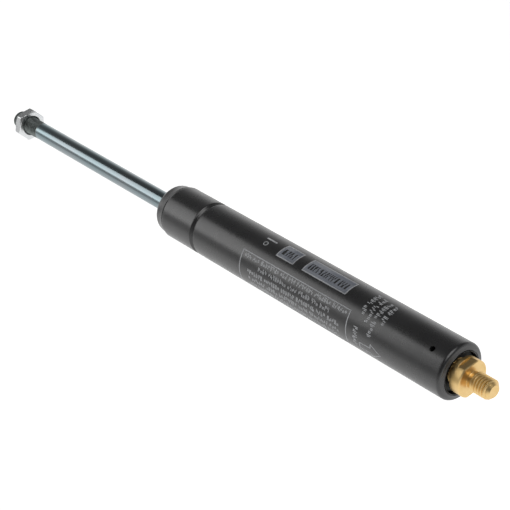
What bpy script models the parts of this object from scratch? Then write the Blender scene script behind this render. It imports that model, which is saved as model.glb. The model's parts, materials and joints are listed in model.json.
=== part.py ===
"""Gas strut stay: a black pressure tube, a steel piston rod and a brass bleed-valve stud.

Lengths at the top are in millimetres and the objects are in metres. The strut lies along
world X. A station is the distance in from the end face of the brass stud, which is the
origin, so world x is minus the station. +Z is up.
"""
import math

import bmesh
import bpy
from mathutils import Vector

MM = 0.001
NAME = "gas_strut_stay"

# Pressure tube
TUBE_RADIUS = 11.5
TUBE_BORE = 10.0
TUBE_REAR = 15.4            # station of the rolled rear lip
REAR_BEND = 17.2            # where the tube starts to roll in, behind the lip
REAR_MOUTH = 8.4
GROOVE = 155.3              # rolled groove that carries the guide pack
GROOVE_DEPTH = 0.95
GROOVE_HALF = 1.35
FRONT_BEND = 175.2
TUBE_FRONT = 181.1
FRONT_CAP = 10.6            # radius where the cap in front of the crease rounds off
FRONT_MOUTH = 8.2
WALL = TUBE_RADIUS - TUBE_BORE
LIP_CHAMFER = 0.25

# Rod and its thread
ROD_RADIUS = 4.0
ROD_INNER_END = 135.0
ROD_SHOULDER = 148.5
SPIGOT_RADIUS = 3.0
ROD_THREAD_START = 280.3
ROD_END = 300.0
PITCH = 1.25
THREAD_DEPTH = 0.65
TIP_CHAMFER = 1.5

# Brass valve stem, and the plug that it screws into
STUD_RADIUS = 4.0
COLLAR_FACE = 10.2
COLLAR_BASE = 15.1
COLLAR_RADIUS = 7.3
COLLAR_FLATS = 13.0         # across the two spanner flats
COLLAR_TURN = 79.0          # where the flats face, from -Y towards +Z
FLAT_LENGTH = 3.2           # the flats stop short, leaving a round rim behind them
COLLAR_CHAMFER = 0.35
SHANK_RADIUS = 5.0
STEM_PITCH = 1.0
STEM_BORE = 5.4
STEM_NOSE = 27.5
PLUG_OUTER_FACE = 17.4
PLUG_INNER_FACE = 34.0
BALL_RADIUS = 1.8
BALL_AT = 29.6
VENT_AT = 23.9
VENT_RADIUS = 1.1
VENT_ANGLE = 52.6           # degrees from -Y towards +Z

# Jam nut on the rod and nut on the piston
NUT_FLATS = 13.0
NUT_NEAR = 289.2
NUT_HEIGHT = 4.0
NUT_TURN = 43.0             # where a corner points, from -Y towards +Z
PISTON_NUT_FLATS = 10.0
PISTON_NUT_NEAR = 135.8
PISTON_NUT_HEIGHT = 3.2

# Fits
RING_GAP = 0.3              # to the tube's bore, and between neighbours
SLIDE_GAP = 0.2             # to the sliding rod
FITTED = TUBE_BORE - RING_GAP
ROD_HOLE = ROD_RADIUS + SLIDE_GAP
PISTON_HOLE = SPIGOT_RADIUS + RING_GAP
O_RING_GROOVE = 7.9
O_RING_HALF = 1.3
O_RING_RADIUS = 8.93
O_RING_CORD = 0.8

# Facets
FINE = 48
MEDIUM = 36
COARSE = 24
SMOOTH_ANGLE = math.radians(35.0)

# Finishes: base colour, metallic value and roughness
BLACK_PAINT = ("black_paint", (0.022, 0.023, 0.024), 0.0, 0.32)
POLISHED_STEEL = ("polished_steel", (0.62, 0.66, 0.67), 1.0, 0.16)
BRASS = ("brass", (0.83, 0.60, 0.27), 1.0, 0.28)
ZINC = ("zinc_plate", (0.80, 0.81, 0.80), 1.0, 0.30)
DARK_STEEL = ("dark_steel", (0.30, 0.30, 0.31), 1.0, 0.45)
RUBBER = ("black_rubber", (0.015, 0.015, 0.016), 0.0, 0.70)
BRONZE = ("sintered_bronze", (0.55, 0.36, 0.20), 1.0, 0.50)
PTFE = ("ptfe", (0.86, 0.85, 0.80), 0.0, 0.55)
ALUMINIUM = ("aluminium", (0.74, 0.75, 0.76), 1.0, 0.40)


# ---------------------------------------------------------------- helpers

def clear_scene():
    for obj in list(bpy.data.objects):
        bpy.data.objects.remove(obj, do_unlink=True)


def new_collection(name):
    collection = bpy.data.collections.new(name)
    bpy.context.scene.collection.children.link(collection)
    return collection


def material(finish, node):
    """The node's own Principled material."""
    name, colour, metallic, roughness = finish
    made = bpy.data.materials.new(f"{node}_{name}")
    made.use_nodes = True
    shader = made.node_tree.nodes["Principled BSDF"]
    shader.inputs["Base Color"].default_value = (*colour, 1.0)
    shader.inputs["Metallic"].default_value = metallic
    shader.inputs["Roughness"].default_value = roughness
    made.diffuse_color = (*colour, 1.0)
    return made


def place(obj, collection, at, turn=0.0):
    """Put an object on the strut's axis at a station, turned from -Y towards +Z."""
    collection.objects.link(obj)
    obj.parent = AXIS
    obj.location = (0.0, 0.0, -at * MM)
    obj.rotation_euler = (0.0, 0.0, -math.radians(turn))
    return obj


def smooth(mesh):
    mesh.shade_smooth()
    mesh.set_sharp_from_angle(angle=SMOOTH_ANGLE)


def apply_modifiers(obj):
    """Give the object the mesh that its modifiers make, shaded smooth."""
    bpy.context.view_layer.update()
    depsgraph = bpy.context.evaluated_depsgraph_get()
    made = bpy.data.meshes.new_from_object(obj.evaluated_get(depsgraph))
    profile = obj.data
    obj.modifiers.clear()
    obj.data = made
    bpy.data.meshes.remove(profile)
    made.name = obj.name
    smooth(made)


def turned(name, at, profile, steps, collection):
    """Turn (station, radius) points about the axis.

    The points run along the outer side first, with rising stations. A profile that starts
    and ends on the axis makes a solid piece, and any other is closed into a ring.
    """
    solid = profile[0][1] == 0.0 and profile[-1][1] == 0.0
    count = len(profile)
    points = [(radius * MM, 0.0, (at - station) * MM) for station, radius in profile]
    edges = [(i, i + 1) for i in range(count - 1)]
    if not solid:
        edges.append((count - 1, 0))
    mesh = bpy.data.meshes.new(name)
    mesh.from_pydata(points, edges, [])
    obj = place(bpy.data.objects.new(name, mesh), collection, at)
    screw = obj.modifiers.new("turn", "SCREW")
    screw.axis = "Z"
    screw.angle = math.tau
    screw.steps = steps
    screw.render_steps = steps
    screw.use_merge_vertices = True
    screw.merge_threshold = 1e-5
    apply_modifiers(obj)
    return obj


def part(name, finish, at, profile, steps=MEDIUM):
    """A turned piece of the strut."""
    obj = turned(name, at, profile, steps, PARTS)
    obj.data.materials.append(material(finish, name))
    return obj


def mesh_part(name, finish, at, mesh, turn=0.0):
    """A piece of the strut from a ready mesh."""
    mesh.materials.append(material(finish, name))
    return place(bpy.data.objects.new(name, mesh), PARTS, at, turn)


def as_cutter(obj):
    obj.hide_render = True
    obj.display_type = "WIRE"
    return obj


def turned_cutter(name, at, profile, steps=MEDIUM):
    return as_cutter(turned(name, at, profile, steps, CUTTERS))


def combine(obj, other, operation):
    boolean = obj.modifiers.new(other.name, "BOOLEAN")
    boolean.operation = operation
    boolean.solver = "EXACT"
    boolean.object = other


def hexagon(name, flats, height):
    """A hexagonal bar, centred on its own origin."""
    mesh = bpy.data.meshes.new(name)
    bar = bmesh.new()
    corner = flats / 2 / math.cos(math.pi / 6) * MM
    bmesh.ops.create_cone(bar, cap_ends=True, segments=6, radius1=corner,
                          radius2=corner, depth=height * MM)
    bar.to_mesh(mesh)
    bar.free()
    return mesh


def drill(name, radius, depth, at, angle):
    """A round cutter that points out from the axis, at an angle from -Y towards +Z."""
    mesh = bpy.data.meshes.new(name)
    rod = bmesh.new()
    bmesh.ops.create_cone(rod, cap_ends=True, segments=20, radius1=radius * MM,
                          radius2=radius * MM, depth=(depth[1] - depth[0]) * MM)
    rod.to_mesh(mesh)
    rod.free()
    cutter = as_cutter(place(bpy.data.objects.new(name, mesh), CUTTERS, at))
    tilt = math.radians(angle)
    outwards = Vector((-math.sin(tilt), -math.cos(tilt), 0.0))
    cutter.location += outwards * (depth[0] + depth[1]) / 2 * MM
    cutter.rotation_euler = outwards.to_track_quat("Z", "Y").to_euler()
    return cutter


def chamfer_body(name, flats, near, height, bevel=0.3):
    """The double cone that takes the corners off a hexagon."""
    face = flats / 2 - bevel
    corner = flats / 2 / math.cos(math.pi / 6) + 0.2
    slope = (corner - face) * math.tan(math.pi / 6)
    far = near + height
    profile = [(near, 0.0), (near, face), (near + slope, corner), (far - slope, corner),
               (far, face), (far, 0.0)]
    return turned_cutter(name, near + height / 2, profile)


def round_points(start, end, radius, count):
    """Points on an outward-bulging arc from start to end, end points included."""
    a = Vector(start)
    b = Vector(end)
    chord = b - a
    inwards = Vector((chord.y, -chord.x)).normalized()
    rise = math.sqrt(radius ** 2 - (chord.length / 2) ** 2)
    centre = (a + b) / 2 + inwards * rise
    first = math.atan2(a.y - centre.y, a.x - centre.x)
    last = math.atan2(b.y - centre.y, b.x - centre.x)
    angles = [first + (last - first) * i / count for i in range(count + 1)]
    return [(centre.x + radius * math.cos(t), centre.y + radius * math.sin(t)) for t in angles]


def dome_points(start, length, mouth, bore, count):
    """A quarter ellipse from radius bore at a station to radius mouth, length further on."""
    angles = [math.pi / 2 * i / count for i in range(count + 1)]
    return [(start + length * math.sin(t), mouth + (bore - mouth) * math.cos(t))
            for t in angles]


def thread_points(start, end, radius, pitch, depth):
    """Crests and roots from start to end, beginning and ending on a crest."""
    turns = round((end - start) / pitch)
    step = (end - start) / turns
    points = [(start, radius)]
    for i in range(turns):
        points.append((start + (i + 0.5) * step, radius - depth))
        points.append((start + (i + 1) * step, radius))
    return points


def o_ring(name, at, radius, cord):
    """A rubber ring lying in its groove."""
    bpy.ops.mesh.primitive_torus_add(major_segments=COARSE, minor_segments=8,
                                     major_radius=radius * MM, minor_radius=cord * MM)
    obj = bpy.context.object
    obj.name = name
    obj.data.name = name
    for collection in list(obj.users_collection):
        collection.objects.unlink(obj)
    smooth(obj.data)
    obj.data.materials.append(material(RUBBER, name))
    return place(obj, PARTS, at)


def groove_for(at):
    """The groove that an O-ring on the tube's bore lies in."""
    return [(at - O_RING_HALF, FITTED), (at - O_RING_HALF, O_RING_GROOVE),
            (at + O_RING_HALF, O_RING_GROOVE), (at + O_RING_HALF, FITTED)]


# ---------------------------------------------------------------- pressure tube

def rolled_rear():
    """Outside of the rear end: a nearly flat face out from the lip, then a round shoulder."""
    shoulder = 1.3
    start = (REAR_BEND - shoulder, TUBE_RADIUS - shoulder)
    return ([(TUBE_REAR, REAR_MOUTH + LIP_CHAMFER)]
            + round_points(start, (REAR_BEND, TUBE_RADIUS), 1.4, 4))


def rolled_groove():
    """A raised-cosine groove, crossed from rear to front."""
    return [(GROOVE + GROOVE_HALF * d,
             TUBE_RADIUS - GROOVE_DEPTH * (1 + math.cos(math.pi * d)) / 2)
            for d in (-1.0, -0.5, 0.0, 0.5, 1.0)]


def rolled_front():
    """Outside of the front end: a crease, a slightly tapered cap and its round front."""
    cap_end = TUBE_FRONT - 2.1
    crease = [(FRONT_BEND - 0.6, TUBE_RADIUS), (FRONT_BEND + 0.1, FRONT_CAP + 0.25),
              (FRONT_BEND + 0.6, FRONT_CAP + 0.45)]
    return crease + round_points((cap_end, FRONT_CAP),
                                 (TUBE_FRONT, FRONT_MOUTH + LIP_CHAMFER), 2.4, 4)


def tube_inside():
    """The bore from front to rear, with the bead that the groove raises in it."""
    half = GROOVE_HALF + 0.6
    front = dome_points(FRONT_BEND, TUBE_FRONT - WALL - FRONT_BEND, FRONT_MOUTH, TUBE_BORE, 4)
    bead = [(GROOVE + half, TUBE_BORE), (GROOVE, TUBE_BORE - GROOVE_DEPTH),
            (GROOVE - half, TUBE_BORE)]
    rear = round_points((TUBE_REAR + WALL, REAR_MOUTH), (REAR_BEND + 0.6, TUBE_BORE), 2.6, 2)
    return front[::-1] + bead + rear[::-1]


def pressure_tube():
    """Steel tube, rolled in at both ends, with the groove behind the guide pack."""
    profile = rolled_rear() + rolled_groove() + rolled_front()
    profile += [(TUBE_FRONT - LIP_CHAMFER, FRONT_MOUTH)] + tube_inside()
    profile += [(TUBE_REAR + LIP_CHAMFER, REAR_MOUTH)]
    tube = part("pressure_tube", BLACK_PAINT, GROOVE, profile, FINE)
    vent = drill("vent_drill", VENT_RADIUS, (TUBE_BORE - 1.0, TUBE_RADIUS + 1.0), VENT_AT,
                 VENT_ANGLE)
    combine(tube, vent, "DIFFERENCE")


# ---------------------------------------------------------------- guide pack

GUIDE_START = 164.9
GUIDE_END = 177.9
GUIDE_HOLE = 5.5
GUIDE_O_RING_AT = 170.0
SEAL_START = 159.4
SEAL_END = 164.6
WASHER_START = 157.4
WASHER_END = 158.9


def rod_guide():
    """Aluminium guide, with a nose that fits the tube's rolled front."""
    profile = [(GUIDE_START, FITTED)] + groove_for(GUIDE_O_RING_AT)
    profile += [(FRONT_BEND - 0.2, FITTED), (176.9, 9.1), (GUIDE_END, 8.1),
                (GUIDE_END, GUIDE_HOLE), (GUIDE_START, GUIDE_HOLE)]
    part("rod_guide", ALUMINIUM, GUIDE_START, profile)
    o_ring("guide_o_ring", GUIDE_O_RING_AT, O_RING_RADIUS, O_RING_CORD)


def guide_bush():
    start = GUIDE_START + RING_GAP
    end = GUIDE_END - RING_GAP
    outer = GUIDE_HOLE - RING_GAP
    profile = [(start, outer), (end, outer), (end, ROD_HOLE), (start, ROD_HOLE)]
    part("guide_bush", BRONZE, start, profile, COARSE)


def rod_seal():
    """U-shaped lip seal, open towards the gas, and the ring that spreads its lips."""
    root = 161.8
    profile = [(SEAL_START, FITTED), (SEAL_END, FITTED), (SEAL_END, ROD_HOLE + 0.3),
               (root, ROD_HOLE + 0.3), (SEAL_START, ROD_HOLE), (SEAL_START, 5.4),
               (root, 6.2), (root, 7.8), (SEAL_START, 8.8)]
    part("rod_seal", RUBBER, SEAL_START, profile, COARSE)
    back = root - 0.5
    spreader = [(SEAL_START + 0.1, 8.3), (back, 7.5), (back, 6.5), (SEAL_START + 0.1, 5.9)]
    part("seal_spreader", PTFE, SEAL_START, spreader, COARSE)


def seal_washer():
    profile = [(WASHER_START, FITTED), (WASHER_END, FITTED),
               (WASHER_END, ROD_HOLE + 0.1), (WASHER_START, ROD_HOLE + 0.1)]
    part("seal_washer", DARK_STEEL, WASHER_START, profile, COARSE)


def wiper_ring():
    """Plastic ring in the tube's front mouth, with a lip that wipes the rod."""
    start = GUIDE_END + RING_GAP
    end = TUBE_FRONT - 0.2
    outer = FRONT_MOUTH - 0.4
    profile = [(start, outer), (end - 0.3, outer), (end, outer - 0.3), (end, ROD_HOLE + 1.0),
               (end + 0.7, ROD_HOLE + 0.3), (end + 0.7, ROD_HOLE), (start, ROD_HOLE)]
    part("wiper_ring", RUBBER, start, profile)


# ---------------------------------------------------------------- rod and piston

PISTON_START = 141.0
PISTON_END = 148.2
PISTON_RING_AT = 144.6
PISTON_RADIUS = 9.6


def piston_rod():
    """Polished rod: a spigot for the piston at one end and a thread at the other."""
    thread = thread_points(ROD_THREAD_START + 0.6, ROD_END - TIP_CHAMFER, ROD_RADIUS, PITCH,
                           THREAD_DEPTH)
    profile = [(ROD_INNER_END, 0.0), (ROD_INNER_END, SPIGOT_RADIUS - 0.4),
               (ROD_INNER_END + 0.4, SPIGOT_RADIUS), (ROD_SHOULDER, SPIGOT_RADIUS),
               (ROD_SHOULDER, ROD_RADIUS), (ROD_THREAD_START, ROD_RADIUS)]
    profile += thread + [(ROD_END, ROD_RADIUS - TIP_CHAMFER), (ROD_END, 0.0)]
    part("piston_rod", POLISHED_STEEL, ROD_SHOULDER, profile, COARSE)


def rebound_stop():
    """Rubber buffer between the piston and the bead inside the tube's groove."""
    start = ROD_SHOULDER + 0.4
    end = GROOVE - 2.2
    profile = [(start, 8.9), (start + 0.6, 9.5), (end, 9.5), (end, ROD_HOLE + 0.1),
               (start, ROD_HOLE + 0.1)]
    part("rebound_stop", RUBBER, start, profile, COARSE)


def piston():
    """Piston with its ring groove and the small orifice that sets the speed."""
    side = 1.4
    profile = [(PISTON_START, 9.3), (PISTON_START + 0.3, PISTON_RADIUS),
               (PISTON_RING_AT - side, PISTON_RADIUS), (PISTON_RING_AT - side, 8.0),
               (PISTON_RING_AT + side, 8.0), (PISTON_RING_AT + side, PISTON_RADIUS),
               (PISTON_END - 0.3, PISTON_RADIUS), (PISTON_END, 9.3),
               (PISTON_END, PISTON_HOLE), (PISTON_START, PISTON_HOLE)]
    body = part("piston", ALUMINIUM, PISTON_START, profile)
    orifice_at = 5.6
    hole = [(PISTON_START - 1.0, 0.0), (PISTON_START - 1.0, 0.6), (PISTON_END + 1.0, 0.6),
            (PISTON_END + 1.0, 0.0)]
    orifice = turned_cutter("orifice_drill", PISTON_START, hole, 12)
    orifice.location.y = orifice_at * MM
    combine(body, orifice, "DIFFERENCE")


def piston_ring():
    width = 1.1
    profile = [(PISTON_RING_AT - width, 9.75), (PISTON_RING_AT + width, 9.75),
               (PISTON_RING_AT + width, 8.3), (PISTON_RING_AT - width, 8.3)]
    part("piston_ring", PTFE, PISTON_RING_AT, profile)


def piston_washer():
    start = PISTON_NUT_NEAR + PISTON_NUT_HEIGHT + RING_GAP
    end = PISTON_START - RING_GAP
    profile = [(start, 7.2), (end, 7.2), (end, PISTON_HOLE), (start, PISTON_HOLE)]
    part("piston_washer", DARK_STEEL, start, profile, COARSE)


# ---------------------------------------------------------------- hexagon nuts

def hexagon_nut(name, finish, flats, near, height, hole, turn):
    """A nut with both faces chamfered and both ends of its hole countersunk."""
    middle = near + height / 2
    nut = mesh_part(name, finish, middle, hexagon(name, flats, height), turn)
    combine(nut, chamfer_body(f"{name}_chamfer", flats, near, height), "INTERSECT")
    far = near + height
    sink = 0.4
    bore = [(near - 1.0, 0.0), (near - 1.0, hole + sink), (near, hole + sink),
            (near + sink, hole), (far - sink, hole), (far, hole + sink),
            (far + 1.0, hole + sink), (far + 1.0, 0.0)]
    combine(nut, turned_cutter(f"{name}_bore", middle, bore, COARSE), "DIFFERENCE")


# ---------------------------------------------------------------- bleed valve

def valve_housing():
    """Plug in the tube's rear end: O-rings outside, the stem's bore and gas port inside."""
    rear_ring = 20.5
    gas_ring = 28.3
    chamber = 3.4
    chamber_start = 26.0
    seat_shelf = 32.8
    seat_start = 30.5
    profile = [(PLUG_OUTER_FACE, 7.9), (PLUG_OUTER_FACE + 0.7, 8.9),
               (PLUG_OUTER_FACE + 1.6, FITTED)]
    profile += groove_for(rear_ring)
    profile += [(VENT_AT - 1.1, FITTED), (VENT_AT - 1.1, 9.0), (VENT_AT + 1.1, 9.0),
                (VENT_AT + 1.1, FITTED)]
    profile += groove_for(gas_ring)
    profile += [(PLUG_INNER_FACE - 0.4, FITTED), (PLUG_INNER_FACE, 9.3),
                (PLUG_INNER_FACE, 1.0), (seat_shelf, 1.0), (seat_shelf, chamber),
                (chamber_start, chamber), (chamber_start, STEM_BORE),
                (PLUG_OUTER_FACE, STEM_BORE)]
    plug = part("valve_housing", DARK_STEEL, PLUG_OUTER_FACE, profile)
    port = drill("port_drill", 0.8, (STEM_BORE - 1.0, TUBE_BORE), VENT_AT, VENT_ANGLE)
    combine(plug, port, "DIFFERENCE")
    for name, at in (("housing_o_ring_outer", rear_ring), ("housing_o_ring_inner", gas_ring)):
        o_ring(name, at, O_RING_RADIUS, O_RING_CORD)
    seat = [(seat_start, chamber - RING_GAP), (seat_shelf - RING_GAP, chamber - RING_GAP),
            (seat_shelf - RING_GAP, 1.0), (seat_start + 1.1, 1.0), (seat_start, 2.0)]
    part("valve_seat", PTFE, seat_start, seat, COARSE)


def valve_ball():
    mesh = bpy.data.meshes.new("valve_ball")
    ball = bmesh.new()
    bmesh.ops.create_uvsphere(ball, u_segments=20, v_segments=10, radius=BALL_RADIUS * MM)
    ball.to_mesh(mesh)
    ball.free()
    smooth(mesh)
    mesh_part("valve_ball", POLISHED_STEEL, BALL_AT, mesh)


def flats_cutter():
    """Two blocks, one outside each of the collar's spanner flats."""
    depth = 3.0
    middle = (COLLAR_FLATS + depth) / 2
    overshoot = 1.0
    mesh = bpy.data.meshes.new("collar_flats")
    blocks = bmesh.new()
    for side in (-1, 1):
        block = bmesh.ops.create_cube(blocks, size=1.0)["verts"]
        size = (3 * COLLAR_RADIUS, depth, FLAT_LENGTH + overshoot)
        bmesh.ops.scale(blocks, verts=block, vec=Vector(size) * MM)
        bmesh.ops.translate(blocks, verts=block, vec=(0.0, side * middle * MM, 0.0))
    blocks.to_mesh(mesh)
    blocks.free()
    cutter = bpy.data.objects.new("collar_flats", mesh)
    return as_cutter(place(cutter, CUTTERS, COLLAR_FACE + (FLAT_LENGTH - overshoot) / 2,
                           COLLAR_TURN))


def valve_stem():
    """One brass piece: threaded stud, collar, threaded shank and valve nose."""
    neck = 3.3
    neck_at = 8.7
    fillet = 0.8
    ring_at = 21.4
    ring_root = 3.6
    edge = COLLAR_RADIUS - COLLAR_CHAMFER
    profile = [(0.0, 0.0), (0.0, STUD_RADIUS - TIP_CHAMFER)]
    profile += thread_points(TIP_CHAMFER, neck_at - 0.5, STUD_RADIUS, PITCH, THREAD_DEPTH)
    profile += [(neck_at, neck), (COLLAR_FACE - fillet, neck), (COLLAR_FACE, neck + fillet),
                (COLLAR_FACE, edge),
                (COLLAR_FACE + COLLAR_CHAMFER, COLLAR_RADIUS),
                (COLLAR_BASE - COLLAR_CHAMFER, COLLAR_RADIUS), (COLLAR_BASE, edge)]
    profile += thread_points(COLLAR_BASE, ring_at - 1.5, SHANK_RADIUS, STEM_PITCH, 0.5)
    profile += [(ring_at - 1.1, SHANK_RADIUS), (ring_at - 1.1, ring_root),
                (ring_at + 1.1, ring_root), (ring_at + 1.1, SHANK_RADIUS),
                (ring_at + 1.6, SHANK_RADIUS), (ring_at + 2.1, 2.4), (STEM_NOSE - 0.5, 2.4),
                (STEM_NOSE, 1.9), (STEM_NOSE, 0.0)]
    stem = part("valve_stem", BRASS, COLLAR_FACE, profile)
    combine(stem, flats_cutter(), "DIFFERENCE")
    o_ring("stem_o_ring", ring_at, 4.48, 0.66)


# ---------------------------------------------------------------- assembly

clear_scene()
PARTS = new_collection(NAME)
CUTTERS = new_collection("cutters")
AXIS = bpy.data.objects.new("strut_axis", None)
AXIS.rotation_euler = (0.0, math.pi / 2, 0.0)
PARTS.objects.link(AXIS)

pressure_tube()
rod_guide()
guide_bush()
rod_seal()
seal_washer()
wiper_ring()
piston_rod()
rebound_stop()
piston()
piston_ring()
piston_washer()
hexagon_nut("piston_nut", DARK_STEEL, PISTON_NUT_FLATS, PISTON_NUT_NEAR, PISTON_NUT_HEIGHT,
            PISTON_HOLE, 0.0)
hexagon_nut("jam_nut", ZINC, NUT_FLATS, NUT_NEAR, NUT_HEIGHT, ROD_RADIUS + RING_GAP,
            NUT_TURN)
valve_housing()
valve_ball()
valve_stem()
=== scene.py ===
"""The looks of the gas strut stay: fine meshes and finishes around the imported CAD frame.

The strut lies along X with the end of its brass stud at the origin. A station is the
distance in from that end, so x is minus the station. Stations, radii and other lengths
of the strut are in millimetres, and its meshes are in metres. An angle about the axis is
in degrees from -Y towards +Z.
"""
import json
import math
import random

import bmesh
import bpy
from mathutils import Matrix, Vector


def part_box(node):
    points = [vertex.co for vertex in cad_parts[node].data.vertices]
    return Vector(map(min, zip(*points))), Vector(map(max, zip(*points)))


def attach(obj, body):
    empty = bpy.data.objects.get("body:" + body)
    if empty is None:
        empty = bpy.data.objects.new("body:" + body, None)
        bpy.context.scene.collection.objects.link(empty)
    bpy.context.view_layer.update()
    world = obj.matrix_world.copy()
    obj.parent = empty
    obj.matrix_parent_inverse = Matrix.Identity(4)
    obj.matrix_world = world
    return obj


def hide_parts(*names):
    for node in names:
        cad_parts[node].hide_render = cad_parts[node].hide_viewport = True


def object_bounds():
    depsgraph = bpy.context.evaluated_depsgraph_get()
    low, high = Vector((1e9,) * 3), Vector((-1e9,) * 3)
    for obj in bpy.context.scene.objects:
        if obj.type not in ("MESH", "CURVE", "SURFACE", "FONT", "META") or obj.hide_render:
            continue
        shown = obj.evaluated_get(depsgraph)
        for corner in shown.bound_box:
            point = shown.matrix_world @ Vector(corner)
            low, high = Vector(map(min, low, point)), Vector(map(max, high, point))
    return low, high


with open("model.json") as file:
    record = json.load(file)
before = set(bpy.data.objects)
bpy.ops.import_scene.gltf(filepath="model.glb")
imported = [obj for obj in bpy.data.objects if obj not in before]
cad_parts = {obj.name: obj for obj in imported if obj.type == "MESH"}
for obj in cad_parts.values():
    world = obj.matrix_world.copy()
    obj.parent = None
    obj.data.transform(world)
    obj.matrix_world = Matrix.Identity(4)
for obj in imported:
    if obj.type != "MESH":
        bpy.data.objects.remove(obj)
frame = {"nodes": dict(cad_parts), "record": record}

CAD_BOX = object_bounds()
MM = 0.001


# ---------------------------------------------------------------- sizes from the frame

def stations(node):
    """The stations where a CAD node starts and ends."""
    low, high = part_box(node)
    return -high.x / MM, -low.x / MM


def outer_radius(node):
    low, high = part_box(node)
    return high.z / MM


def mount_station(name):
    mount = next(m for m in frame["record"]["mounts"] if m["name"] == name)
    return -mount["pos_m"][0] / MM


TUBE_REAR, TUBE_FRONT = stations("pressure_tube")
INK_PROUD = 0.03
TUBE_RADIUS = outer_radius("pressure_tube") - INK_PROUD
WALL = 1.5
LIP_ROUND = 0.25
BORE = TUBE_RADIUS - WALL
REAR_BEND = TUBE_REAR + 1.8
REAR_MOUTH = 8.4
GROOVE = TUBE_FRONT - 25.8
GROOVE_DEPTH = 0.95
GROOVE_HALF = 1.35
FRONT_BEND = TUBE_FRONT - 5.9
FRONT_CAP = 10.6
FRONT_MOUTH = 8.2
VENT_AT = TUBE_REAR + 8.5
VENT_RADIUS = 1.1
VENT_ANGLE = 52.6

ROD_INNER_END, ROD_END = stations("piston_rod")
ROD_RADIUS = 4.0
ROD_SHOULDER = ROD_INNER_END + 13.5
SPIGOT_RADIUS = 3.0
ROD_THREAD_START = ROD_END - 19.7
M8_PITCH = 1.25
M8_DEPTH = 0.65
TIP_CHAMFER = 1.5

STEM_NOSE = stations("valve_stem")[1]
COLLAR_FACE = mount_station("collar_seat")
COLLAR_BASE = COLLAR_FACE + 4.9
COLLAR_RADIUS = 7.3
COLLAR_FLATS = 13.0
COLLAR_TURN = 79.0
FLAT_LENGTH = 3.2
COLLAR_CHAMFER = 0.35
STUD_RADIUS = 4.0
NECK_RADIUS = 3.3
SHANK_RADIUS = 5.0
SHANK_PITCH = 1.0

NUT_NEAR, NUT_FAR = stations("jam_nut")
NUT_FLATS = 13.0
NUT_TURN = 43.0

SHARP_ANGLE = 35.0
NOISE_LOW = 0.25
NOISE_HIGH = 0.755


# ---------------------------------------------------------------- mesh building

def lathe(name, profile, columns, closed=True):
    """Turn a profile about the axis.

    Each profile point is (station, radius) or (station, radius, shape), where shape gives
    the radius from a station, an angle and the plain radius. A closed profile is a ring,
    and an open one starts and ends on the axis.
    """
    mesh = bpy.data.meshes.new(name)
    build = bmesh.new()
    rings = []
    for point in profile:
        station, radius = point[:2]
        shape = point[2] if len(point) == 3 else None
        if radius == 0.0:
            rings.append([build.verts.new((-station * MM, 0.0, 0.0))] * len(columns))
            continue
        ring = []
        for angle in columns:
            out = shape(station, angle, radius) if shape else radius
            turn = math.radians(angle)
            ring.append(build.verts.new((-station * MM, -out * math.cos(turn) * MM,
                                         out * math.sin(turn) * MM)))
        rings.append(ring)
    pairs = list(zip(rings, rings[1:]))
    if closed:
        pairs.append((rings[-1], rings[0]))
    count = len(columns)
    for ring, after in pairs:
        for i in range(count):
            j = (i + 1) % count
            corners = dict.fromkeys((ring[i], ring[j], after[j], after[i]))
            if len(corners) > 2:
                build.faces.new(list(corners))
    bmesh.ops.recalc_face_normals(build, faces=build.faces)
    build.to_mesh(mesh)
    build.free()
    return mesh


def even_columns(count, start=0.0):
    return [start + 360.0 * i / count for i in range(count)]


def hexagon_columns(count, turn):
    """Even columns with extra ones close to the hexagon's corners."""
    near_corner = (-1.6, -0.8, 0.8, 1.6)
    columns = even_columns(count, turn)
    for corner in even_columns(6, turn):
        columns += [corner + offset for offset in near_corner]
    return sorted(columns)


def add_piece(name, mesh, materials, sharp=SHARP_ANGLE):
    """A piece with smooth faces and sharp edges where faces meet at over an angle."""
    mesh.shade_smooth()
    mesh.set_sharp_from_angle(angle=math.radians(sharp))
    for made in materials:
        mesh.materials.append(made)
    piece = bpy.data.objects.new(name, mesh)
    bpy.context.scene.collection.objects.link(piece)
    return piece


def apply_modifiers(piece):
    """Bake a piece's modifiers into its mesh."""
    bpy.context.view_layer.update()
    depsgraph = bpy.context.evaluated_depsgraph_get()
    made = bpy.data.meshes.new_from_object(piece.evaluated_get(depsgraph))
    piece.modifiers.clear()
    piece.data = made


def spread(start, end, count):
    """Evenly spaced numbers from start to end."""
    return [start + (end - start) * i / count for i in range(count + 1)]


def arc(start, end, radius, count):
    """Points on an outward-bulging arc between two (station, radius) points."""
    a = Vector(start)
    b = Vector(end)
    chord = b - a
    inwards = Vector((chord.y, -chord.x)).normalized()
    centre = (a + b) / 2 + inwards * math.sqrt(radius ** 2 - (chord.length / 2) ** 2)
    first = math.atan2(a.y - centre.y, a.x - centre.x)
    last = math.atan2(b.y - centre.y, b.x - centre.x)
    return [(centre.x + radius * math.cos(t), centre.y + radius * math.sin(t))
            for t in spread(first, last, count)]


def quarter_ellipse(start, length, mouth, bore, count):
    """Points from the bore to a narrower mouth, round the inside of a rolled end."""
    return [(start + length * math.sin(t), mouth + (bore - mouth) * math.cos(t))
            for t in spread(0.0, math.pi / 2, count)]


def smoothstep(low, high, value):
    """0 below low, 1 above high, and a smooth rise between."""
    t = min(max((value - low) / (high - low), 0.0), 1.0)
    return t * t * (3 - 2 * t)


def thread(start, end, pitch, depth, runout=1.0):
    """A thread's shape, left-handed as it stands, which fades out over a pitch at its inner end."""
    def shape(station, angle, radius):
        turns = (station - start) / pitch + angle / 360.0
        from_crest = abs(turns % 1.0 - 0.5) * 2.0
        fade = 1.0 - smoothstep(end - runout, end, station)
        return radius - depth * fade * smoothstep(0.14, 0.90, from_crest)
    return shape


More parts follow.
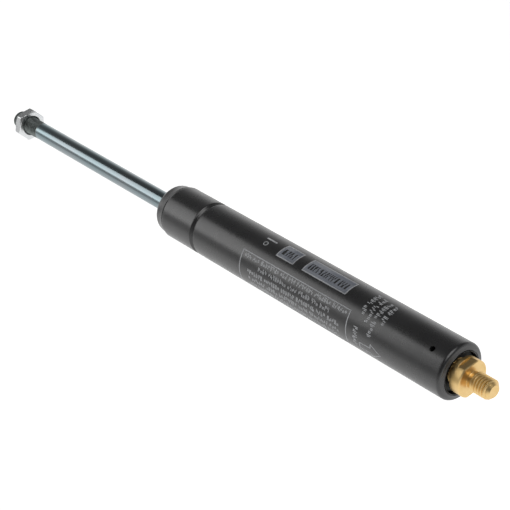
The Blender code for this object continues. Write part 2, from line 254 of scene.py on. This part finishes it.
def threaded(start, end, radius, shape, per_pitch, pitch):
    """Closely spaced profile points that a thread's shape is cut into."""
    count = math.ceil((end - start) / pitch * per_pitch)
    return [(station, radius, shape) for station in spread(start, end, count)]


def hexagon_shape(flats, turn, rounding=0.12):
    """Cuts a turned blank to a hexagon with slightly rounded corners."""
    corner = flats / 2 / math.cos(math.pi / 6) - rounding
    def shape(station, angle, radius):
        off_flat = math.radians((angle - turn) % 60.0 - 30.0)
        return min(radius, corner, flats / 2 / math.cos(off_flat))
    return shape


def hexagon_profile(near, far, flats, turn, face_radius):
    """The outer side of a chamfered hexagon, between its two faces."""
    shape = hexagon_shape(flats, turn)
    corner = flats / 2 / math.cos(math.pi / 6)
    slope = (corner - face_radius) * math.tan(math.radians(30.0))
    edge = 0.06
    points = [(near, face_radius - edge), (near + edge / 2, face_radius, shape)]
    points += [(near + slope * t, face_radius + (corner - face_radius) * t, shape)
               for t in spread(0.1, 1.0, 9)]
    points += [(s, corner, shape) for s in spread(near + slope, far - slope, 6)[1:-1]]
    points += [(far - slope * t, face_radius + (corner - face_radius) * t, shape)
               for t in reversed(spread(0.1, 1.0, 9))]
    points += [(far - edge / 2, face_radius, shape), (far, face_radius - edge)]
    return points


# ---------------------------------------------------------------- materials

def principled(name, colour, metallic, roughness):
    """A material with one Principled shader."""
    made = bpy.data.materials.new(name)
    made.use_nodes = True
    shader = made.node_tree.nodes["Principled BSDF"]
    shader.inputs["Base Color"].default_value = (*colour, 1.0)
    shader.inputs["Metallic"].default_value = metallic
    shader.inputs["Roughness"].default_value = roughness
    return made


def add_node(made, kind, **values):
    """A shader node in a material or a world."""
    node = made.node_tree.nodes.new(kind)
    for key, value in values.items():
        setattr(node, key, value)
    return node


def link(made, output, socket):
    made.node_tree.links.new(output, socket)


def map_range(made, value, span, result, interpolation="LINEAR"):
    """A value in one span, moved to another."""
    node = add_node(made, "ShaderNodeMapRange", interpolation_type=interpolation)
    node.inputs["From Min"].default_value = span[0]
    node.inputs["From Max"].default_value = span[1]
    node.inputs["To Min"].default_value = result[0]
    node.inputs["To Max"].default_value = result[1]
    link(made, value, node.inputs["Value"])
    return node.outputs["Result"]


def object_position(made, stretch=(1.0, 1.0, 1.0)):
    """Position in the strut's own frame, in metres, stretched along each axis."""
    place = add_node(made, "ShaderNodeTexCoord")
    scale = add_node(made, "ShaderNodeVectorMath", operation="MULTIPLY")
    scale.inputs[1].default_value = stretch
    link(made, place.outputs["Object"], scale.inputs[0])
    return scale.outputs["Vector"]


def turned_position(made, along, out):
    """Station and radius only, so that a noise on it makes rings as a lathe does."""
    place = add_node(made, "ShaderNodeTexCoord")
    split = add_node(made, "ShaderNodeSeparateXYZ")
    flat = add_node(made, "ShaderNodeVectorMath", operation="MULTIPLY")
    flat.inputs[1].default_value = (0.0, 1.0, 1.0)
    length = add_node(made, "ShaderNodeVectorMath", operation="LENGTH")
    joined = add_node(made, "ShaderNodeCombineXYZ")
    scale = add_node(made, "ShaderNodeVectorMath", operation="MULTIPLY")
    scale.inputs[1].default_value = (along, out, 0.0)
    link(made, place.outputs["Object"], split.inputs["Vector"])
    link(made, place.outputs["Object"], flat.inputs[0])
    link(made, flat.outputs["Vector"], length.inputs[0])
    link(made, split.outputs["X"], joined.inputs["X"])
    link(made, length.outputs["Value"], joined.inputs["Y"])
    link(made, joined.outputs["Vector"], scale.inputs[0])
    return scale.outputs["Vector"]


def noise(made, vector, scale, detail=3.0, rough=0.55):
    node = add_node(made, "ShaderNodeTexNoise")
    node.inputs["Scale"].default_value = scale
    node.inputs["Detail"].default_value = detail
    node.inputs["Roughness"].default_value = rough
    link(made, vector, node.inputs["Vector"])
    return node.outputs["Fac"]


def blend_colours(made, factor, first, second, low=0.3, high=0.7):
    """Base colour that runs from one colour to another with a factor."""
    ramp = add_node(made, "ShaderNodeValToRGB")
    ramp.color_ramp.elements[0].position = low
    ramp.color_ramp.elements[0].color = (*first, 1.0)
    ramp.color_ramp.elements[1].position = high
    ramp.color_ramp.elements[1].color = (*second, 1.0)
    link(made, factor, ramp.inputs["Fac"])
    link(made, ramp.outputs["Color"], made.node_tree.nodes["Principled BSDF"].inputs["Base Color"])


def vary_roughness(made, factor, low, high):
    varied = map_range(made, factor, (NOISE_LOW, NOISE_HIGH), (low, high))
    link(made, varied, made.node_tree.nodes["Principled BSDF"].inputs["Roughness"])


def add_bump(made, height, distance, strength=1.0):
    bump = add_node(made, "ShaderNodeBump")
    bump.inputs["Distance"].default_value = distance
    bump.inputs["Strength"].default_value = strength
    shader = made.node_tree.nodes["Principled BSDF"]
    link(made, height, bump.inputs["Height"])
    link(made, bump.outputs["Normal"], shader.inputs["Normal"])


def black_paint():
    """Satin stoved paint with a faint orange peel."""
    made = principled("black_paint", (0.018, 0.018, 0.0185), 0.0, 0.3)
    shader = made.node_tree.nodes["Principled BSDF"]
    shader.inputs["Specular IOR Level"].default_value = 0.75
    position = object_position(made)
    cloud = noise(made, position, 60.0)
    blend_colours(made, cloud, (0.015, 0.015, 0.0155), (0.019, 0.019, 0.0195))
    vary_roughness(made, noise(made, position, 140.0), 0.24, 0.32)
    add_bump(made, noise(made, position, 700.0, 2.0), 0.00001)
    return made


def nitrided_steel():
    """Ground, nitrided and polished rod: dark blue-grey with faint lines around it."""
    made = principled("nitrided_steel", (0.205, 0.255, 0.27), 1.0, 0.14)
    blend_colours(made, noise(made, object_position(made, (1.0, 0.2, 0.2)), 45.0),
                  (0.19, 0.25, 0.265), (0.235, 0.26, 0.275))
    rings = noise(made, turned_position(made, 9000.0, 9000.0), 1.0, 2.0)
    vary_roughness(made, rings, 0.11, 0.18)
    add_bump(made, rings, 0.0000012)
    return made


def thread_steel():
    """The rod's cut thread, dull and dark, with darker and lighter patches at random."""
    made = principled("thread_steel", (0.16, 0.185, 0.18), 1.0, 0.38)
    position = object_position(made)
    blend_colours(made, noise(made, position, 900.0), (0.11, 0.125, 0.12), (0.22, 0.24, 0.235))
    vary_roughness(made, noise(made, position, 2400.0), 0.3, 0.5)
    return made


def turned_metal(name, colour, shade, roughness, lines):
    """Metal off a lathe: rings of slightly different shine, and patches of tarnish."""
    made = principled(name, colour, 1.0, roughness)
    blend_colours(made, noise(made, object_position(made), 220.0), shade, colour)
    rings = noise(made, turned_position(made, lines, lines), 1.0, 2.0)
    vary_roughness(made, rings, roughness * 0.75, roughness * 1.3)
    add_bump(made, rings, 0.000002)
    return made


def rubber(name, colour):
    made = principled(name, colour, 0.0, 0.6)
    position = object_position(made)
    blend_colours(made, noise(made, position, 500.0), [c * 0.7 for c in colour], colour)
    vary_roughness(made, noise(made, position, 1500.0), 0.5, 0.72)
    add_bump(made, noise(made, position, 3500.0), 0.000006)
    return made


def plastic(name, colour):
    made = principled(name, colour, 0.0, 0.45)
    position = object_position(made)
    blend_colours(made, noise(made, position, 300.0), [c * 0.92 for c in colour], colour)
    vary_roughness(made, noise(made, position, 1200.0), 0.36, 0.54)
    return made


def ink(name, colour):
    """Pad-printed ink, slightly uneven in cover."""
    made = principled(name, colour, 0.0, 0.5)
    position = object_position(made)
    blend_colours(made, noise(made, position, 1800.0), [c * 0.72 for c in colour], colour)
    vary_roughness(made, noise(made, position, 900.0), 0.42, 0.58)
    return made


# ---------------------------------------------------------------- pressure tube

def groove_points(count):
    """The rolled groove, as a raised cosine."""
    return [(GROOVE + GROOVE_HALF * d,
             TUBE_RADIUS - GROOVE_DEPTH * (1 + math.cos(math.pi * d)) / 2)
            for d in spread(-1.0, 1.0, count)]


def rear_outside():
    """The rear lip, its nearly flat face and the round shoulder."""
    shoulder = 1.3
    lip = REAR_MOUTH + LIP_ROUND
    return (arc((TUBE_REAR, lip), (TUBE_REAR + 0.1, lip + 0.35), 0.3, 4)
            + arc((REAR_BEND - shoulder, TUBE_RADIUS - shoulder), (REAR_BEND, TUBE_RADIUS),
                  1.4, 16))


def straight_outside():
    """The straight part with its groove, and more rings where the vent is cut."""
    beside_groove = GROOVE_HALF + 0.4
    around_vent = [(s, TUBE_RADIUS) for s in spread(REAR_BEND + 0.5, VENT_AT + 6.0, 12)]
    return (around_vent
            + [(GROOVE - 8.0, TUBE_RADIUS), (GROOVE - beside_groove, TUBE_RADIUS)]
            + groove_points(24)
            + [(GROOVE + beside_groove, TUBE_RADIUS), (FRONT_BEND - 1.6, TUBE_RADIUS)])


def front_outside():
    """The crease, the tapered cap in front of it and the cap's round edge."""
    crease = arc((FRONT_BEND - 0.55, TUBE_RADIUS), (FRONT_BEND - 0.2, TUBE_RADIUS - 0.25), 0.4,
                 5)
    crease += [(FRONT_BEND + 0.1, FRONT_CAP + 0.25), (FRONT_BEND + 0.25, FRONT_CAP + 0.25)]
    crease += arc((FRONT_BEND + 0.45, FRONT_CAP + 0.4), (FRONT_BEND + 0.7, FRONT_CAP + 0.43),
                  0.2, 4)
    cap_end = TUBE_FRONT - 2.1
    return crease + arc((cap_end, FRONT_CAP), (TUBE_FRONT, FRONT_MOUTH + LIP_ROUND), 2.4, 24)


def tube_inside():
    """The front mouth, the bore with the groove's bead, and the rear mouth."""
    bead_half = 1.9
    mouth = [(TUBE_FRONT - 0.06, FRONT_MOUTH + 0.06), (TUBE_FRONT - 0.2, FRONT_MOUTH)]
    front = quarter_ellipse(FRONT_BEND, TUBE_FRONT - WALL - FRONT_BEND, FRONT_MOUTH, BORE, 10)
    bead = [(GROOVE + bead_half, BORE), (GROOVE, BORE - GROOVE_DEPTH), (GROOVE - bead_half, BORE)]
    rear = arc((TUBE_REAR + WALL, REAR_MOUTH), (REAR_BEND + 0.6, BORE), 2.6, 6)
    lip = [(TUBE_REAR + 0.3, REAR_MOUTH), (TUBE_REAR + 0.08, REAR_MOUTH + 0.08)]
    return mouth + front[::-1] + bead + rear[::-1] + lip


def tube_profile():
    return rear_outside() + straight_outside() + front_outside() + tube_inside()


def vent_cutter():
    """A drill with a small countersink, on the line through the vent hole."""
    sink = 0.45
    inner = BORE - 1.0
    outer = TUBE_RADIUS + 1.0
    surface = TUBE_RADIUS - 0.12
    profile = [(-inner, 0.0), (-inner, VENT_RADIUS), (-surface, VENT_RADIUS),
               (-surface - sink, VENT_RADIUS + sink), (-outer, VENT_RADIUS + sink),
               (-outer, 0.0)]
    mesh = lathe("vent_cutter", profile, even_columns(40), closed=False)
    cutter = bpy.data.objects.new("vent_cutter", mesh)
    bpy.context.scene.collection.objects.link(cutter)
    turn = math.radians(VENT_ANGLE)
    outwards = Vector((0.0, -math.cos(turn), math.sin(turn)))
    cutter.rotation_euler = outwards.to_track_quat("X", "Z").to_euler()
    cutter.location.x = -VENT_AT * MM
    return cutter


def pressure_tube(paint):
    """The painted tube, with its vent hole cut through the wall."""
    piece = add_piece("painted_tube", lathe("painted_tube", tube_profile(), even_columns(180)),
                      [paint])
    cutter = vent_cutter()
    cut = piece.modifiers.new("vent", "BOOLEAN")
    cut.object = cutter
    cut.solver = "EXACT"
    apply_modifiers(piece)
    bpy.data.objects.remove(cutter)
    piece.data.shade_smooth()
    piece.data.set_sharp_from_angle(angle=math.radians(SHARP_ANGLE))
    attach(piece, "tube")
    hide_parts("pressure_tube")


def wiper_ring(material):
    """The scraper in the front mouth, with a thin lip on the rod."""
    start, end = stations("wiper_ring")
    outer = outer_radius("wiper_ring")
    lip = 0.7
    hole = ROD_RADIUS + 0.2
    profile = [(start, outer)]
    profile += arc((end - lip - 0.3, outer), (end - lip, outer - 0.3), 0.3, 5)
    profile += [(end - lip, hole + 1.6), (end - lip + 0.06, hole + 1.1)]
    profile += arc((end - 0.25, hole + 0.3), (end, hole + 0.06), 0.3, 5)
    profile += [(end - 0.04, hole), (start, hole)]
    piece = add_piece("rod_wiper", lathe("rod_wiper", profile, even_columns(96)), [material])
    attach(piece, "tube")
    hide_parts("wiper_ring")


# ---------------------------------------------------------------- rod and jam nut

def piston_rod(polished, dull):
    """The rod with its spigot and its thread, which fades in and ends in a chamfer."""
    no_runout = 0.0001
    thread_shape = thread(ROD_THREAD_START, ROD_END, M8_PITCH, M8_DEPTH, no_runout)
    def cut(station, angle, radius):
        fade = smoothstep(ROD_THREAD_START, ROD_THREAD_START + M8_PITCH, station)
        depth = radius - thread_shape(station, angle, radius)
        tip = ROD_RADIUS - TIP_CHAMFER + (ROD_END - station)
        return min(radius - depth * fade, tip)
    profile = [(ROD_INNER_END, 0.0), (ROD_INNER_END, SPIGOT_RADIUS - 0.4),
               (ROD_INNER_END + 0.4, SPIGOT_RADIUS), (ROD_SHOULDER, SPIGOT_RADIUS),
               (ROD_SHOULDER, ROD_RADIUS - 0.2), (ROD_SHOULDER + 0.2, ROD_RADIUS)]
    profile += [(s, ROD_RADIUS) for s in spread(ROD_SHOULDER + 1.0, ROD_THREAD_START, 12)]
    profile += threaded(ROD_THREAD_START + 0.05, ROD_END, ROD_RADIUS, cut, 18, M8_PITCH)
    profile += [(ROD_END, 0.0)]
    mesh = lathe("polished_rod", profile, even_columns(96), closed=False)
    piece = add_piece("polished_rod", mesh, [polished, dull], 50.0)
    for face in mesh.polygons:
        if -face.center.x / MM > ROD_THREAD_START:
            face.material_index = 1
    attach(piece, "rod")
    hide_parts("piston_rod")


def jam_nut(zinc):
    """The nut, with its hole countersunk at both faces and a hair outside the crests."""
    hole = ROD_RADIUS + 0.06
    sink = 0.7
    profile = hexagon_profile(NUT_NEAR, NUT_FAR, NUT_FLATS, NUT_TURN, NUT_FLATS / 2 - 0.25)
    profile += [(NUT_FAR, hole + sink), (NUT_FAR - sink, hole), (NUT_NEAR + sink, hole),
                (NUT_NEAR, hole + sink)]
    mesh = lathe("zinc_jam_nut", profile, hexagon_columns(120, NUT_TURN))
    piece = add_piece("zinc_jam_nut", mesh, [zinc], 20.0)
    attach(piece, "jam_nut")
    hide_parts("jam_nut")


# ---------------------------------------------------------------- brass valve stem

def spanner_flats(flats):
    """Cuts two opposite flats on a round collar."""
    def shape(station, angle, radius):
        off_flat = math.radians((angle - COLLAR_TURN + 90.0) % 180.0 - 90.0)
        return min(radius, flats / 2 / max(math.cos(off_flat), 0.01))
    return shape


def collar_columns(count):
    """Even columns with extra ones close to the edges of the two flats."""
    half = math.degrees(math.acos(COLLAR_FLATS / 2 / COLLAR_RADIUS))
    edges = [COLLAR_TURN + side + turn for side in (-half, half) for turn in (0.0, 180.0)]
    near = [edge + offset for edge in edges for offset in (-0.7, 0.0, 0.7)]
    return sorted(column % 360.0 for column in even_columns(count) + near)


def collar_profile():
    """The collar's face, flats in its front part, round rim and back."""
    shape = spanner_flats(COLLAR_FLATS)
    edge = spanner_flats(COLLAR_FLATS - 2 * COLLAR_CHAMFER)
    rim = COLLAR_RADIUS - COLLAR_CHAMFER
    step = COLLAR_FACE + FLAT_LENGTH
    return ([(COLLAR_FACE, 5.0), (COLLAR_FACE, rim - 0.1, edge), (COLLAR_FACE + 0.05, rim, edge),
             (COLLAR_FACE + COLLAR_CHAMFER, COLLAR_RADIUS, shape)]
            + [(s, COLLAR_RADIUS, shape) for s in spread(COLLAR_FACE + 1.0, step, 4)]
            + [(step + 0.02, COLLAR_RADIUS - 0.02), (step + 0.05, COLLAR_RADIUS),
               (COLLAR_BASE - COLLAR_CHAMFER, COLLAR_RADIUS), (COLLAR_BASE, rim)])


def valve_stem(brass):
    """The stud, neck, collar, shank and nose, all one piece."""
    shank_depth = 0.5
    thread_end = COLLAR_FACE - 2.0
    shank_thread_end = COLLAR_BASE + 3.8
    ring_at = STEM_NOSE - 6.1
    ring_root = 3.6
    stud = thread(0.0, thread_end, M8_PITCH, M8_DEPTH)
    shank = thread(COLLAR_BASE, shank_thread_end, SHANK_PITCH, shank_depth)
    def tip(station, angle, radius):
        return min(stud(station, angle, radius), STUD_RADIUS - TIP_CHAMFER + station)
    profile = [(0.0, 0.0), (0.0, STUD_RADIUS - TIP_CHAMFER - 0.05)]
    profile += threaded(0.03, thread_end, STUD_RADIUS, tip, 20, M8_PITCH)
    profile += [(thread_end + 0.1, STUD_RADIUS - 0.1), (thread_end + 0.5, NECK_RADIUS + 0.05),
                (thread_end + 0.6, NECK_RADIUS), (COLLAR_FACE - 0.25, NECK_RADIUS),
                (COLLAR_FACE - 0.07, NECK_RADIUS + 0.07), (COLLAR_FACE, NECK_RADIUS + 0.25)]
    profile += collar_profile()
    profile += [(COLLAR_BASE, SHANK_RADIUS)]
    profile += threaded(COLLAR_BASE + 0.05, shank_thread_end, SHANK_RADIUS, shank, 16,
                        SHANK_PITCH)
    profile += [(ring_at - 1.1, SHANK_RADIUS), (ring_at - 1.1, ring_root),
                (ring_at + 1.1, ring_root), (ring_at + 1.1, SHANK_RADIUS),
                (ring_at + 1.6, SHANK_RADIUS), (ring_at + 2.1, 2.4), (STEM_NOSE - 0.5, 2.4),
                (STEM_NOSE, 1.9), (STEM_NOSE, 0.0)]
    mesh = lathe("brass_valve_stem", profile, collar_columns(132), closed=False)
    piece = add_piece("brass_valve_stem", mesh, [brass], 20.0)
    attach(piece, "valve_stem")
    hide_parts("valve_stem")


# ---------------------------------------------------------------- printed marking

# Patches of ink are (start, end, low angle, high angle), in stations and degrees.
PANEL = (63.2, 124.8, -36.0, 40.0)
PANEL_LINE = 0.42
PLATES = ((70.0, 94.3, 59.0, 97.0), (99.4, 109.3, 59.0, 97.0))
PLATE_LINE = 0.45
BAR = (113.8, 119.6, 83.0, 87.0)
DOT_AT = (117.5, 71.0)
THIN_LINE = 0.35

# Corners of the arrow that points to the valve, as (station, angle).
ARROW = ((45.2, -15.5), (50.4, -1.0), (50.4, -10.0), (56.2, -10.5), (56.2, -24.0),
         (50.4, -23.0), (50.4, -31.0))

# Lines of strokes: rows are (start, end, angle) and columns (station, low, high angle).
ROW_HEIGHT = 1.9
ROWS = ((64.8, 123.4, 27.0), (73.3, 114.6, 13.0), (67.4, 121.0, -2.5), (67.4, 120.0, -16.0),
        (69.0, 119.0, -30.0))
COLUMN_HEIGHT = 2.3
COLUMNS = ((57.4, -20.0, 28.0), (57.4, 44.0, 100.0), (54.1, 34.0, 100.0), (50.6, 12.0, 100.0),
           (47.3, 44.0, 100.0))


def on_tube(build, station, angle):
    """A vertex halfway through the ink's thickness."""
    radius = (TUBE_RADIUS + INK_PROUD / 2) * MM
    turn = math.radians(angle)
    return build.verts.new((-station * MM, -radius * math.cos(turn), radius * math.sin(turn)))


def join_rows(build, rows):
    for row, after in zip(rows, rows[1:]):
        build.faces.new((row[0], row[1], after[1], after[0]))


def patch(build, s0, s1, a0, a1):
    """A patch of ink on the tube, between two stations and two angles."""
    steps = max(1, math.ceil(abs(a1 - a0) / 3.0))
    join_rows(build, [[on_tube(build, s, angle) for s in (s0, s1)]
                      for angle in spread(a0, a1, steps)])


def around(width):
    """The angle that a width takes on the tube's surface."""
    return math.degrees(width / TUBE_RADIUS)


def frame_lines(build, s0, s1, a0, a1, width):
    """Four lines around a rectangle."""
    turn = around(width)
    patch(build, s0, s1, a0, a0 + turn)
    patch(build, s0, s1, a1 - turn, a1)
    patch(build, s0, s0 + width, a0 + turn, a1 - turn)
    patch(build, s1 - width, s1, a0 + turn, a1 - turn)


def slanted(build, start, end, width):
    """A straight line of ink between two (station, angle) points."""
    run = end[0] - start[0]
    turn = end[1] - start[1]
    rise = math.radians(turn) * TUBE_RADIUS
    length = math.hypot(run, rise)
    aside = (-rise / length * width / 2, around(run / length * width / 2))
    join_rows(build, [[on_tube(build, start[0] + run * t + aside[0] * side,
                               start[1] + turn * t + aside[1] * side) for side in (-1.0, 1.0)]
                      for t in spread(0.0, 1.0, 6)])


def broken_ticks(dice, start, end):
    """Pairs of short strokes in groups along a line, with no letters.

    Each is (from, to, low, high): its ends along the line in millimetres and its lower and
    upper ends as fractions of the line's height.
    """
    stroke = 0.3
    second_stroke = 0.52
    pair_pitch = 1.32
    group_gap = 0.8
    heights = ((0.0, 1.0), (0.0, 0.55), (0.45, 1.0), (0.2, 0.8))
    strokes = []
    at = start
    while at < end - 1.0:
        for _ in range(dice.randint(3, 8)):
            if at > end - 1.0:
                break
            for offset in (0.0, second_stroke):
                low, high = dice.choice(heights)
                strokes.append((at + offset, at + offset + stroke, low, high))
            at += pair_pitch
        at += group_gap
    return strokes


def tick_row(build, dice, start, end, angle):
    """A line of strokes along the tube."""
    tall = around(ROW_HEIGHT)
    for s0, s1, low, high in broken_ticks(dice, start, end):
        patch(build, s0, s1, angle + tall * low, angle + tall * high)


def tick_column(build, dice, station, a0, a1):
    """The same strokes running around the tube."""
    for start, end, low, high in broken_ticks(dice, 0.0, math.radians(a1 - a0) * TUBE_RADIUS):
        patch(build, station + COLUMN_HEIGHT * low, station + COLUMN_HEIGHT * high,
              a0 + around(start), a0 + around(end))


def draw_panel(build):
    """The outlined panel, the arrow, the border of each grey plate, a bar and a small ring."""
    frame_lines(build, *PANEL, PANEL_LINE)
    for start, end in zip(ARROW, ARROW[1:] + ARROW[:1]):
        slanted(build, start, end, THIN_LINE)
    for plate in PLATES:
        frame_lines(build, *plate, PLATE_LINE)
    patch(build, *BAR)
    for start in range(0, 360, 45):
        points = [(DOT_AT[0] + math.cos(math.radians(start + turn)),
                   DOT_AT[1] + around(math.sin(math.radians(start + turn)))) for turn in (0, 45)]
        slanted(build, *points, THIN_LINE)


def draw_words(build):
    dice = random.Random(11)
    for row in ROWS:
        tick_row(build, dice, *row)
    for column in COLUMNS:
        tick_column(build, dice, *column)


def draw_plates(build):
    """Two grey plates with bare gaps through their middle."""
    dice = random.Random(5)
    edge = around(PLATE_LINE)
    for s0, s1, a0, a1 in PLATES:
        low, middle, high = a0 + 9.0, a0 + 17.0, a0 + 25.0
        patch(build, s0 + PLATE_LINE, s1 - PLATE_LINE, a0 + edge, low)
        patch(build, s0 + PLATE_LINE, s1 - PLATE_LINE, high, a1 - edge)
        for bottom, top in ((low, middle), (middle, high)):
            patch(build, s0 + PLATE_LINE, s0 + 1.8, bottom, top)
            at = s0 + 1.8
            while at < s1 - 3.0:
                at += dice.choice((0.5, 0.7, 0.9))
                width = dice.choice((0.5, 0.8, 1.2))
                patch(build, at, at + width, bottom, top)
                at += width
            patch(build, s1 - 1.6, s1 - PLATE_LINE, bottom, top)


def marking_mesh(name, draw):
    """Ink as flat patches, which add_marking thickens."""
    mesh = bpy.data.meshes.new(name)
    build = bmesh.new()
    draw(build)
    bmesh.ops.recalc_face_normals(build, faces=build.faces)
    build.to_mesh(mesh)
    build.free()
    return mesh


def add_marking(name, draw, material):
    """A thin closed shell for each patch of ink, riding on the tube."""
    piece = add_piece(name, marking_mesh(name, draw), [material])
    skin = piece.modifiers.new("thickness", "SOLIDIFY")
    skin.thickness = INK_PROUD * MM
    skin.offset = 0.0
    apply_modifiers(piece)
    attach(piece, "tube")


# ---------------------------------------------------------------- finishes on CAD nodes

def finish_nodes(by_material):
    """Give each CAD node that still shows its procedural material."""
    for made, names in by_material:
        for name in names:
            for slot in frame["nodes"][name].material_slots:
                slot.material = made


# ---------------------------------------------------------------- studio

def add_floor():
    """A pale light table below the strut, which fades out towards the camera."""
    half_size = 3.0
    drop = 0.06
    mesh = bpy.data.meshes.new("floor")
    build = bmesh.new()
    bmesh.ops.create_grid(build, x_segments=4, y_segments=4, size=half_size)
    bmesh.ops.translate(build, verts=build.verts, vec=(0.0, 0.0, CAD_BOX[0][2] - drop))
    build.to_mesh(mesh)
    build.free()
    floor = bpy.data.objects.new("floor", mesh)
    bpy.context.scene.collection.objects.link(floor)
    made = principled("light_table", (0.9, 0.9, 0.9), 0.0, 0.9)
    shader = made.node_tree.nodes["Principled BSDF"]
    shader.inputs["Emission Color"].default_value = (1.0, 1.0, 1.0, 1.0)
    place = add_node(made, "ShaderNodeTexCoord")
    split = add_node(made, "ShaderNodeSeparateXYZ")
    link(made, place.outputs["Object"], split.inputs["Vector"])
    glow = map_range(made, split.outputs["Y"], (-0.24, -0.08), (0.0, 0.62), "SMOOTHSTEP")
    link(made, glow, shader.inputs["Emission Strength"])
    blend_colours(made, noise(made, object_position(made), 4.0), (0.885, 0.885, 0.885),
                  (0.905, 0.905, 0.905))
    mesh.materials.append(made)


def middle_of_strut():
    return (Vector(CAD_BOX[0]) + Vector(CAD_BOX[1])) / 2


def add_softbox(name, towards, distance, size, radiance):
    """A square-on area light, at a distance from the strut's middle in a direction."""
    light = bpy.data.lights.new(name, "AREA")
    light.shape = "RECTANGLE"
    light.size, light.size_y = size
    light.energy = radiance * math.pi * size[0] * size[1]
    lamp = bpy.data.objects.new(name, light)
    bpy.context.scene.collection.objects.link(lamp)
    direction = Vector(towards).normalized()
    lamp.location = middle_of_strut() + direction * distance
    lamp.rotation_euler = direction.to_track_quat("Z", "Y").to_euler()


def add_world():
    """Bright towards the horizon, dim overhead and dim behind the camera."""
    world = bpy.data.worlds.new("studio")
    bpy.context.scene.world = world
    world.use_nodes = True
    sky = world.node_tree.nodes["Background"]
    sky.inputs["Color"].default_value = (1.0, 1.0, 1.0, 1.0)
    place = add_node(world, "ShaderNodeTexCoord")
    split = add_node(world, "ShaderNodeSeparateXYZ")
    along = add_node(world, "ShaderNodeVectorMath", operation="DOT_PRODUCT")
    along.inputs[1].default_value = (math.sqrt(0.5), -math.sqrt(0.5), 0.0)
    link(world, place.outputs["Generated"], split.inputs["Vector"])
    link(world, place.outputs["Generated"], along.inputs[0])
    height = map_range(world, split.outputs["Z"], (0.0, 0.75), (1.2, 0.1), "SMOOTHSTEP")
    side = map_range(world, along.outputs["Value"], (-0.3, 0.8), (1.0, 0.12), "SMOOTHSTEP")
    total = add_node(world, "ShaderNodeMath", operation="MULTIPLY")
    link(world, height, total.inputs[0])
    link(world, side, total.inputs[1])
    link(world, total.outputs["Value"], sky.inputs["Strength"])


def add_camera():
    """A long lens above the strut, on its -Y side and past its brass end."""
    azimuth = math.radians(49.5)
    elevation = math.radians(29.5)
    distance = 0.64
    aim = middle_of_strut() + Vector((23.25, -1.5, 0.8)) * MM
    view = Vector((-math.sin(azimuth) * math.cos(elevation),
                   math.cos(azimuth) * math.cos(elevation), -math.sin(elevation)))
    data = bpy.data.cameras.new("camera")
    data.sensor_width = 36.0
    data.lens = 112.9
    camera = bpy.data.objects.new("camera", data)
    bpy.context.scene.collection.objects.link(camera)
    camera.location = aim - view * distance
    camera.rotation_euler = view.to_track_quat("-Z", "Y").to_euler()
    bpy.context.scene.camera = camera


# ---------------------------------------------------------------- assembly

PAINT = black_paint()
POLISHED = nitrided_steel()
DULL = thread_steel()
BRASS = turned_metal("brass", (0.78, 0.56, 0.265), (0.70, 0.48, 0.195), 0.34, 6000.0)
ZINC = turned_metal("zinc", (0.70, 0.715, 0.72), (0.62, 0.635, 0.645), 0.24, 5000.0)
# Painted shade: the valve housing is near black so that the gap between the brass collar and the
# tube's lip reads as dark shade.
SHADE_BLACK = turned_metal("shade_black", (0.05, 0.052, 0.05), (0.03, 0.032, 0.03), 0.5, 4000.0)
DARK_STEEL = turned_metal("dark_steel", (0.30, 0.30, 0.31), (0.22, 0.22, 0.23), 0.4, 4000.0)
ALUMINIUM = turned_metal("aluminium", (0.74, 0.75, 0.76), (0.66, 0.67, 0.68), 0.35, 4000.0)
BRONZE = turned_metal("bronze", (0.55, 0.36, 0.20), (0.42, 0.26, 0.13), 0.5, 2500.0)
RUBBER = rubber("black_rubber", (0.016, 0.016, 0.017))
PTFE = plastic("ptfe", (0.86, 0.85, 0.80))
INK = ink("light_ink", (0.46, 0.47, 0.49))
WORD_INK = ink("word_ink", (0.52, 0.53, 0.55))
PLATE_INK = ink("grey_ink", (0.19, 0.205, 0.24))

pressure_tube(PAINT)
wiper_ring(RUBBER)
piston_rod(POLISHED, DULL)
jam_nut(ZINC)
valve_stem(BRASS)
add_marking("marking_panel", draw_panel, INK)
add_marking("marking_words", draw_words, WORD_INK)
add_marking("marking_plates", draw_plates, PLATE_INK)

finish_nodes((
    (ALUMINIUM, ("rod_guide", "piston")),
    (BRONZE, ("guide_bush",)),
    (DARK_STEEL, ("seal_washer", "piston_washer", "piston_nut")),
    # The housing's near-black finish is painted shade for the gap inside the tube's mouth.
    (SHADE_BLACK, ("valve_housing",)),
    (POLISHED, ("valve_ball",)),
    (PTFE, ("seal_spreader", "valve_seat", "piston_ring")),
    (RUBBER, ("guide_o_ring", "rod_seal", "housing_o_ring_outer", "housing_o_ring_inner",
              "stem_o_ring", "rebound_stop")),
))

add_floor()
add_world()
add_softbox("front_left_softbox", (-0.69, -0.60, 0.43), 1.0, (0.55, 0.68), 1.7)
add_softbox("overhead_softbox", (0.45, -0.15, 0.88), 1.3, (1.0, 1.0), 2.4)
add_camera()
bpy.context.scene.view_settings.view_transform = "Standard"
